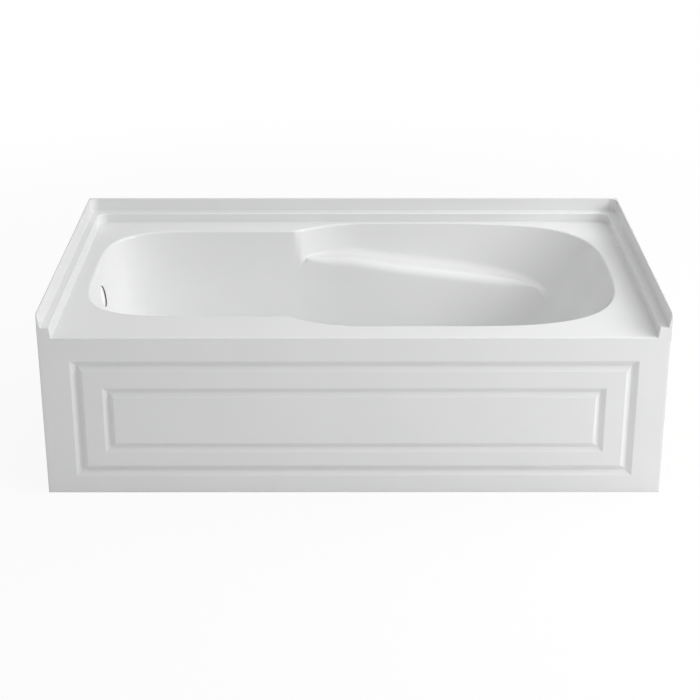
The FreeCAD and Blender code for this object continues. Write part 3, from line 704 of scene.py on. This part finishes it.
def fill_level(bm, height):
    """Fills between the open edges that lie at a height."""
    edges = [edge for edge in bm.edges if edge.is_boundary
             and all(abs(vertex.co.z - height) < 1e-5 for vertex in edge.verts)]
    bmesh.ops.triangle_fill(bm, edges=edges, use_beauty=True, normal=(0, 0, 1))


def hole_cutter(radius, at, axis, chamfer=HOLE_CHAMFER):
    profile = [(0, -0.05), (radius, -0.05), (radius, -chamfer), (radius + chamfer, 0),
               (radius + chamfer + 0.012, 0.012), (0, 0.012)]
    return lathe("cutter", profile, None, at, axis, 72)


def acrylic_shell(material):
    """Well, deck and flange as one closed sheet, cut for the overflow and the drain."""
    bm = bmesh.new()
    rays = well_rays(1.0)
    add_grid(bm, well_rows(rays, 0.0, COVE_END + 0.0006), True)
    add_grid(bm, well_rows(rays, SHEET, HIDDEN_STEP + SHEET, 1.5), True)
    section = flange_section()
    path_rows = [[(x, y, height) for x, y in wall_path(inset)] for inset, height in section]
    step_top = LEDGE_TOP - SHEET
    add_grid(bm, path_rows, False)
    under = [(0, step_top), (HIDDEN_STEP, step_top), (HIDDEN_STEP, APRON_TOP)]
    add_grid(bm, [[(x, y, height) for x, y in wall_path(inset)] for inset, height in under], False)
    rows = add_grid(bm, front_rows(section), False)
    bm.faces.new(rows[-1])
    for side in (-1, 1):
        inset = HALF_LENGTH - HIDDEN_STEP
        back = [(HALF_LENGTH, APRON_TOP), (HALF_LENGTH, step_top), (inset, step_top), (inset, APRON_TOP)]
        bm.faces.new([bm.verts.new((side * x, FRONT + CAP_DEPTH, z)) for x, z in back])
    bmesh.ops.remove_doubles(bm, verts=bm.verts, dist=2e-5)
    fill_level(bm, DECK)
    fill_level(bm, APRON_TOP)
    bmesh.ops.recalc_face_normals(bm, faces=bm.faces)
    shell = mesh_object("acrylic_shell", bm, material)
    cut_away(shell, [hole_cutter(OVERFLOW_RADIUS, overflow_place(), OVERFLOW_AXIS),
                     hole_cutter(DRAIN_RADIUS, drain_place(), (0, 0, 1))])
    return weigh_normals(shell)


def laminate_skin(material):
    """Laminate under the deck and round the well, lumpy outside."""
    bm = bmesh.new()
    rays = well_rays(1.6)
    gap = 0.0001
    edge_inset = STEP_FOOT + 0.0003
    outer = well_rows(rays, SHEET + LAMINATE, edge_inset, 1.4)
    for row in outer[4:]:
        for point in row:
            lump = noise.noise(Vector(point) * 26.0) + 0.6 * noise.noise(Vector(point) * 61.0)
            point[:2] -= (point[:2] - (0, CENTRE_Y)) * 0.0016 * abs(lump)
    add_grid(bm, outer, True)
    add_grid(bm, well_rows(rays, SHEET + gap, edge_inset, 1.8), True)
    low = DECK - SHEET - LAMINATE
    high = DECK - SHEET - gap
    x = HALF_LENGTH - STEP_FOOT
    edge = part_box("apron_top_batten")[1].y
    outline = [(-x, edge), (x, edge), (x, BACK - STEP_FOOT), (-x, BACK - STEP_FOOT)]
    add_grid(bm, [[(px, py, low) for px, py in outline], [(px, py, high) for px, py in outline]], True)
    fill_level(bm, low)
    fill_level(bm, high)
    bmesh.ops.recalc_face_normals(bm, faces=bm.faces)
    skin = mesh_object("laminate_skin", bm, material, 50.0)
    return cut_away(skin, [hole_cutter(OVERFLOW_RADIUS + LAMINATE_RELIEF, overflow_place(), OVERFLOW_AXIS),
                           hole_cutter(DRAIN_RADIUS + LAMINATE_RELIEF, drain_place(), (0, 0, 1))])


# ---------------------------------------------------------------- apron
def groove_section(groove):
    """(distance in, depth) points across a rounded V groove."""
    width, deep = groove["width"], groove["deep"]
    run = (width - GROOVE_FLAT) / 2
    corners = [(-0.007, 0), (0, 0), (run, deep), (width - run, deep), (width, 0), (width + 0.007, 0)]
    return chain(corners, [0.0045, 0.0035, 0.0035, 0.0045], 6)


def apron_rings():
    """(side inset, top inset, low inset, distance behind the front) of the rings from the fold inwards."""
    rings = [(0, SHEET, 0, APRON_RETURN)]
    for k in range(7):
        angle = math.pi / 2 * k / 6
        inset = APRON_EDGE * (1 - math.cos(angle))
        rings.append((inset, SHEET + inset * APRON_TOP_EDGE, inset, APRON_EDGE * (1 - math.sin(angle))))
    strip = APRON_EDGE + 0.008
    rings.append((strip, SHEET + strip, strip, 0))
    for groove in GROOVES:
        for inward, deep in groove_section(groove):
            rings.append((groove["side"] + inward, groove["top"] + inward, groove["low"] + inward, deep))
    return rings


def ring_points(side, top, low, behind):
    x = HALF_LENGTH - side
    y = FRONT + behind
    return [(-x, y, low), (x, y, low), (x, y, DECK - top), (-x, y, DECK - top)]


def apron_panel(material):
    """The folded apron with two frames pressed in; the back follows the front at the sheet's thickness."""
    rings = apron_rings()
    flat = [ring for ring in rings if ring[3] == 0 or ring[0] > 0.05]
    inside = [(SHEET, 2 * SHEET, SHEET, APRON_RETURN), (SHEET, 2 * SHEET, SHEET, SHEET)]
    inside += [(side, top, low, behind + SHEET) for side, top, low, behind in flat if side > SHEET]
    bm = bmesh.new()
    front = add_grid(bm, [ring_points(*ring) for ring in rings], True)
    back = add_grid(bm, [ring_points(*ring) for ring in inside], True)
    bm.faces.new(front[-1])
    bm.faces.new(back[-1])
    for k in range(4):
        after = (k + 1) % 4
        bm.faces.new((front[0][k], front[0][after], back[0][after], back[0][k]))
    mitres = [(low[k].co.copy(), high[k].co.copy()) for low, high in zip(front, front[1:]) for k in range(4)]
    bmesh.ops.recalc_face_normals(bm, faces=bm.faces)
    panel = mesh_object("apron_panel", bm, material)
    sharpen_mitres(panel.data, mitres)
    return panel


def sharpen_mitres(mesh, mitres):
    """Marks the edges that join the corners of neighbouring rings as sharp."""
    wanted = {tuple(round(value, 5) for value in list(one) + list(other)) for one, other in mitres}
    wanted |= {key[3:] + key[:3] for key in wanted}
    for edge in mesh.edges:
        one, other = (mesh.vertices[k].co for k in edge.vertices)
        if tuple(round(value, 5) for value in list(one) + list(other)) in wanted:
            edge.use_edge_sharp = True


# ---------------------------------------------------------------- timber and steel from their solids
def eased(node, name, ease, material, shortest):
    """A copy of a solid with its long edges eased."""
    bm = bmesh.new()
    bm.from_mesh(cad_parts[node].data)
    bmesh.ops.remove_doubles(bm, verts=bm.verts, dist=1e-6)
    bmesh.ops.dissolve_limit(bm, angle_limit=math.radians(1), verts=bm.verts, edges=bm.edges)
    edges = [edge for edge in bm.edges if edge.is_manifold and edge.calc_length() > shortest
             and edge.calc_face_angle() > math.radians(40)]
    bmesh.ops.bevel(bm, geom=edges, offset=ease, segments=3, profile=0.5, affect="EDGES",
                    clamp_overlap=True, harden_normals=False)
    bmesh.ops.recalc_face_normals(bm, faces=bm.faces)
    return weigh_normals(mesh_object(name, bm, material), 50.0)


# ---------------------------------------------------------------- geometry nodes
class Tree:
    """A geometry node tree under construction."""

    def __init__(self, name, sizes):
        self.group = bpy.data.node_groups.new(name, "GeometryNodeTree")
        self.sockets = {}
        self.group.interface.new_socket("Geometry", in_out="INPUT", socket_type="NodeSocketGeometry")
        for word in sizes:
            made = self.group.interface.new_socket(word, in_out="INPUT", socket_type="NodeSocketFloat")
            self.sockets[word] = made.identifier
        self.group.interface.new_socket("Geometry", in_out="OUTPUT", socket_type="NodeSocketGeometry")
        self.start = self.group.nodes.new("NodeGroupInput")
        self.end = self.group.nodes.new("NodeGroupOutput")

    def size(self, word):
        return self.start.outputs[word]

    def node(self, kind, settings, inputs, output=0):
        made = self.group.nodes.new(kind)
        for name, value in settings.items():
            setattr(made, name, value)
        for key, value in inputs.items():
            socket = made.inputs[key]
            if isinstance(value, bpy.types.NodeSocket):
                self.group.links.new(value, socket)
            else:
                socket.default_value = value
        return made.outputs[output]

    def math(self, operation, *values):
        return self.node("ShaderNodeMath", {"operation": operation}, dict(enumerate(values)))

    def finish(self, geometry, material):
        real = self.node("GeometryNodeRealizeInstances", {}, {0: geometry})
        painted = self.node("GeometryNodeSetMaterial", {}, {"Geometry": real, "Material": material})
        self.group.links.new(painted, self.end.inputs[0])

    def make(self, name, mesh, sizes, material, smooth_angle=35.0):
        """Runs the tree on a mesh and returns the plain result as an object."""
        made = bpy.data.objects.new(name, mesh)
        bpy.context.scene.collection.objects.link(made)
        step = made.modifiers.new("tree", "NODES")
        step.node_group = self.group
        for word, value in sizes.items():
            step[self.sockets[word]] = value
        result = evaluated(made)
        bpy.data.objects.remove(made)
        return finished(name, result, material, smooth_angle)


def thread_tree(material, rings, around=28):
    """A threaded rod: a grid rolled up, its radius following the thread's V and its chamfered ends."""
    tree = Tree("threaded_rod", ("radius", "length", "pitch", "depth", "chamfer"))
    grid = tree.node("GeometryNodeMeshGrid", {}, {"Size X": 1.0, "Size Y": 1.0, "Vertices X": rings,
                                                  "Vertices Y": around + 1})
    place = tree.node("GeometryNodeInputPosition", {}, {})
    parts = tree.node("ShaderNodeSeparateXYZ", {}, {0: place})
    across = parts.node.outputs
    share = tree.math("ADD", across[0], 0.5)
    turn = tree.math("ADD", across[1], 0.5)
    height = tree.math("MULTIPLY", share, tree.size("length"))
    phase = tree.math("FRACT", tree.math("SUBTRACT", tree.math("DIVIDE", height, tree.size("pitch")), turn))
    vee = tree.math("ABSOLUTE", tree.math("SUBTRACT", tree.math("MULTIPLY", phase, 2.0), 1.0))
    crest = tree.math("MINIMUM", tree.math("MULTIPLY", vee, 1.25), 1.0)
    radius = tree.math("SUBTRACT", tree.size("radius"), tree.math("MULTIPLY", crest, tree.size("depth")))
    from_end = tree.math("MINIMUM", height, tree.math("SUBTRACT", tree.size("length"), height))
    core = tree.math("SUBTRACT", tree.size("radius"), tree.size("chamfer"))
    radius = tree.math("MINIMUM", radius, tree.math("ADD", core, from_end))
    closed = tree.math("GREATER_THAN", from_end, 1e-6)
    radius = tree.math("MULTIPLY", radius, closed)
    angle = tree.math("MULTIPLY", turn, 2 * math.pi)
    x = tree.math("MULTIPLY", radius, tree.math("COSINE", angle))
    y = tree.math("MULTIPLY", radius, tree.math("SINE", angle))
    rolled = tree.node("ShaderNodeCombineXYZ", {}, {0: x, 1: y, 2: height})
    rod = tree.node("GeometryNodeSetPosition", {}, {"Geometry": grid, "Position": rolled})
    merged = tree.node("GeometryNodeMergeByDistance", {}, {"Geometry": rod, "Distance": 1e-6})
    tree.finish(merged, material)
    return tree


def screw_tree(material, pattern):
    """One screw for each point, turned to the point's own direction."""
    tree = Tree("screws_at_points", ("scale",))
    aim = tree.node("GeometryNodeInputNamedAttribute", {"data_type": "FLOAT_VECTOR"}, {"Name": "aim"})
    turned = tree.node("FunctionNodeAlignRotationToVector", {"axis": "Z"}, {"Vector": aim})
    model = tree.node("GeometryNodeObjectInfo", {}, {"Object": pattern}, "Geometry")
    placed = tree.node("GeometryNodeInstanceOnPoints", {},
                       {"Points": tree.start.outputs[0], "Instance": model,
                        "Rotation": turned, "Scale": tree.size("scale")})
    tree.finish(placed, material)
    return tree


def screw_pattern():
    """A pan-head screw along +Z with a cross recess; its head stands below the origin."""
    head = chain([(0, -SCREW_HEAD), (SCREW_HEAD_RADIUS * 0.62, -SCREW_HEAD),
                  (SCREW_HEAD_RADIUS, -SCREW_HEAD * 0.45), (SCREW_HEAD_RADIUS, 0), (SCREW_RADIUS, 0)],
                 [0.0012, 0.0010, 0.0002], 4)
    thread = []
    for k in range(1, 40):
        wave = SCREW_THREAD * (0.5 + 0.5 * math.cos(math.pi * k))
        thread.append((SCREW_RADIUS - wave, SCREW_THREAD * k * 0.64))
    profile = list(head) + thread + [(0, thread[-1][1] + 0.0006)]
    made = lathe("screw_pattern", profile, None, (0, 0, 0), segments=20)
    bars = []
    long, wide, deep = SCREW_CROSS
    for size_x, size_y in ((long, wide), (wide, long)):
        bm = bmesh.new()
        bmesh.ops.create_cube(bm, size=1.0)
        bm.transform(Matrix.Translation((0, 0, -SCREW_HEAD)) @ Matrix.Diagonal((size_x, size_y, deep, 1)))
        bars.append(mesh_object("bar", bm, None))
    return cut_away(made, bars)


def point_mesh(places, aims):
    mesh = bpy.data.meshes.new("screw_places")
    mesh.from_pydata(places, [], [])
    aim = mesh.attributes.new("aim", "FLOAT_VECTOR", "POINT")
    aim.data.foreach_set("vector", np.array(aims, np.float32).ravel())
    return mesh


# ---------------------------------------------------------------- feet
def hexagon_nut(node, material):
    """A nut with both faces chamfered, bored clear of the stud's thread."""
    low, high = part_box(node)
    middle = (low + high) / 2
    tall = high.z - low.z
    corner = (high.x - low.x) / 2
    bm = bmesh.new()
    bmesh.ops.create_cone(bm, cap_ends=True, segments=6, radius1=corner, radius2=corner, depth=tall)
    bmesh.ops.rotate(bm, verts=bm.verts, cent=(0, 0, 0), matrix=Matrix.Rotation(math.radians(30), 3, "Z"))
    wide = max(vertex.co.x for vertex in bm.verts)
    if wide < corner * 0.99:
        bmesh.ops.rotate(bm, verts=bm.verts, cent=(0, 0, 0), matrix=Matrix.Rotation(math.radians(30), 3, "Z"))
    bm.transform(Matrix.Translation(middle))
    nut = mesh_object(node + "_look", bm, material)
    face = corner * 0.86
    rise = (corner - face) * math.tan(math.radians(30))
    half = tall / 2
    profile = [(0, -half), (face, -half), (corner, rise - half),
               (corner, half - rise), (face, half), (0, half)]
    turned = lathe("turned", profile, material, middle, segments=72)
    step = nut.modifiers.new("turn", "BOOLEAN")
    step.operation = "INTERSECT"
    step.solver = "EXACT"
    step.object = turned
    settle(nut)
    bpy.data.objects.remove(turned)
    bore = STUD_RADIUS + STUD_CLEARANCE
    beyond = half + 0.001
    flare = bore + 0.0018
    straight = half - 0.0008
    profile = [(0, -beyond), (flare, -beyond), (bore, -straight),
               (bore, straight), (flare, beyond), (0, beyond)]
    return cut_away(nut, [lathe("bore", profile, material, middle, segments=40)])


def foot_pad(node, material):
    """A round rubber pad with a cone and a socket for the stud."""
    low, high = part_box(node)
    middle = Vector(((low.x + high.x) / 2, (low.y + high.y) / 2, 0))
    wide = (high.x - low.x) / 2
    tall = high.z
    socket = STUD_RADIUS + STUD_CLEARANCE
    corners = [(0, 0), (wide, 0), (wide, PAD_RIM), (wide - PAD_RIM, PAD_RIM), (PAD_NECK, tall),
               (socket, tall), (socket, PAD_RIM), (0, PAD_RIM)]
    profile = chain(corners, [0.0010, 0.0012, 0.0010, 0.0015, 0.0006, 0.0001], 4)
    return lathe(node + "_look", profile, material, middle, segments=64)


def threaded_stud(node, tree):
    low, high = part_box(node)
    place = Vector(((low.x + high.x) / 2, (low.y + high.y) / 2, low.z))
    sizes = {"radius": STUD_RADIUS, "length": high.z - low.z, "pitch": PITCH,
             "depth": THREAD_DEPTH, "chamfer": STUD_CHAMFER}
    made = tree.make(node + "_look", bpy.data.meshes.new("nothing"), sizes, steel_bright, 60.0)
    made.data.transform(Matrix.Translation(place))
    return made


# ---------------------------------------------------------------- build the pieces
def show(made, body, slot, *nodes):
    """Lets a piece ride on a body in place of its solids."""
    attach(made, body)
    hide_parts(*nodes)


acrylic = acrylic_gloss("acrylic_white", 0.80)
laminate = laminate_paint()
pine_tones = (colour(0.66, 0.50, 0.31), colour(0.50, 0.31, 0.15), colour(0.58, 0.42, 0.25))
pine_along_x = wood_paint("pine_along_x", (0, 0, 0), pine_tones)
pine_along_y = wood_paint("pine_along_y", (0, 0, math.pi / 2), pine_tones)
pine_upright = wood_paint("pine_upright", (0, math.pi / 2, 0), pine_tones)
plywood = plywood_paint()
steel = zinc_paint("zinc_steel", 0.62, 130.0)
steel_bright = zinc_paint("zinc_fasteners", 0.70, 420.0)
rubber = rubber_paint()

show(acrylic_shell(acrylic), "tub", "acrylic", "bath_shell")
show(apron_panel(acrylic), "tub", "acrylic", "front_apron")
show(laminate_skin(laminate), "tub", "laminate", "shell_backing")

TIMBER = {"apron_top_batten": pine_along_x, "apron_rail": pine_along_x, "back_batten": pine_along_x,
          "drain_end_batten": pine_along_y, "head_end_batten": pine_along_y,
          "apron_stile_1": pine_upright, "apron_stile_2": pine_upright, "apron_stile_3": pine_upright}
for node, wood in TIMBER.items():
    show(eased(node, node + "_look", 0.0018, wood, 0.012), "tub", "timber", node)
show(eased("base_board", "base_board_look", 0.0006, plywood, 0.011), "tub", "plywood", "base_board")
for end in ("foot", "head"):
    for kind in ("channel", "bracket"):
        node = end + "_" + kind
        show(eased(node, node + "_look", 0.0006, steel, 0.0022), "tub", "zinc_steel", node)

stud_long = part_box("foot_1_stud")[1].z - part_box("foot_1_stud")[0].z
thread_rings = round(stud_long / PITCH * THREAD_STEPS) + 1
threads = thread_tree(steel_bright, thread_rings)
for number in range(1, 5):
    foot = "foot_%d" % number
    show(threaded_stud(foot + "_stud", threads), foot, "zinc_steel", foot + "_stud")
    show(foot_pad(foot + "_pad", rubber), foot, "rubber", foot + "_pad")
    for kind in ("_adjusting_nut", "_lock_nut"):
        show(hexagon_nut(foot + kind, steel_bright), foot + "_nuts", "zinc_steel", foot + kind)

pattern = screw_pattern()
screws = screw_tree(steel_bright, pattern)


def screw_group(node, places, aims):
    made = screws.make(node + "_look", point_mesh(places, aims), {"scale": 1.0}, steel_bright)
    show(made, "tub", "zinc_steel", node)


channel_boxes = {end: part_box(end + "_channel") for end in ("foot", "head")}
channel_x = {end: (low.x + high.x) / 2 for end, (low, high) in channel_boxes.items()}
web_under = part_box("cradle_screws")[0].z + SCREW_HEAD
places = [(x, CENTRE_Y + step * CRADLE_SCREW_STEP, web_under)
          for x in channel_x.values() for step in (-1, 0, 1)]
screw_group("cradle_screws", places, [(0, 0, 1)] * len(places))
bracket_low, bracket_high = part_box("foot_bracket")
places = []
aims = []
for end in ("foot", "head"):
    for side in (-BRACKET_SCREW_SIDE, BRACKET_SCREW_SIDE):
        x = channel_x[end] + side
        places.append((x, channel_boxes[end][0].y + 0.018, bracket_high.z))
        aims.append((0, 0, -1))
        places.append((x, bracket_low.y + 0.003, SHEET + 0.017))
        aims.append((0, -1, 0))
screw_group("bracket_screws", places, aims)
bpy.data.objects.remove(pattern)

# ---------------------------------------------------------------- stage, light and camera
def stage_floor():
    """A pale floor that is white to the camera but for the tub's shadow."""
    paint = Paint("studio_floor")
    place = paint.place()
    far = paint.node("ShaderNodeVectorMath", {"operation": "LENGTH"}, {0: place}, "Value").between(1.4, 3.2)
    rays = paint.node("ShaderNodeLightPath", {}, {}, "Is Camera Ray")
    glossy = Value(paint, rays.socket.node.outputs["Is Glossy Ray"])
    through = Value(paint, rays.socket.node.outputs["Is Transmission Ray"])
    seen = rays.math("MAXIMUM", glossy).math("MAXIMUM", through)
    matt = paint.node("ShaderNodeBsdfDiffuse", {}, {"Color": colour(0.82, 0.82, 0.82)})
    white = paint.node("ShaderNodeEmission", {}, {"Color": colour(1, 1, 1), "Strength": 1.0})
    share = seen * (0.90 + far * 0.10)
    both = paint.node("ShaderNodeMixShader", {}, {0: share, 1: matt, 2: white})
    paint.show(both)
    bm = bmesh.new()
    bmesh.ops.create_grid(bm, x_segments=1, y_segments=1, size=9.0)
    floor = mesh_object("floor", bm, paint.material)
    floor.location.z = -0.0005


def white_surround(even, overhead):
    """White behind the tub; its light is even, with more of it from overhead."""
    world = bpy.data.worlds.new("studio")
    bpy.context.scene.world = world
    sky = Shader(world, "ShaderNodeOutputWorld")
    direction = sky.node("ShaderNodeTexCoord", {}, {}, "Generated")
    height = sky.node("ShaderNodeSeparateXYZ", {}, {0: direction}, 2).math("MAXIMUM", 0.0)
    lit = even + height * overhead
    camera = sky.node("ShaderNodeLightPath", {}, {}, "Is Camera Ray")
    strength = lit + camera * (1.0 - lit)
    sky.show(sky.node("ShaderNodeBackground", {}, {"Color": colour(1, 1, 1), "Strength": strength}))


def soft_lamp(name, at, size, power):
    lamp = bpy.data.lights.new(name, "AREA")
    lamp.shape = "RECTANGLE"
    lamp.size, lamp.size_y = size
    lamp.energy = power
    made = bpy.data.objects.new(name, lamp)
    made.location = at
    made.rotation_euler = (Vector(LAMP_AIM) - Vector(at)).to_track_quat("-Z", "Y").to_euler()
    bpy.context.scene.collection.objects.link(made)


def photo_camera():
    data = bpy.data.cameras.new("photo_camera")
    data.lens = CAMERA_LENS
    data.sensor_width = 36.0
    data.shift_y = CAMERA_SHIFT
    made = bpy.data.objects.new("photo_camera", data)
    made.location = CAMERA_PLACE
    down = Matrix.Rotation(math.radians(90 - CAMERA_TILT), 4, "X")
    made.rotation_euler = (Matrix.Rotation(math.radians(-CAMERA_YAW), 4, "Z") @ down).to_euler()
    bpy.context.scene.collection.objects.link(made)
    bpy.context.scene.camera = made


stage_floor()
white_surround(0.215, 0.63)
for lamp_name, (lamp_place, lamp_size, lamp_power) in LAMPS.items():
    soft_lamp(lamp_name, lamp_place, lamp_size, lamp_power)
photo_camera()
bpy.context.scene.view_settings.view_transform = "Standard"
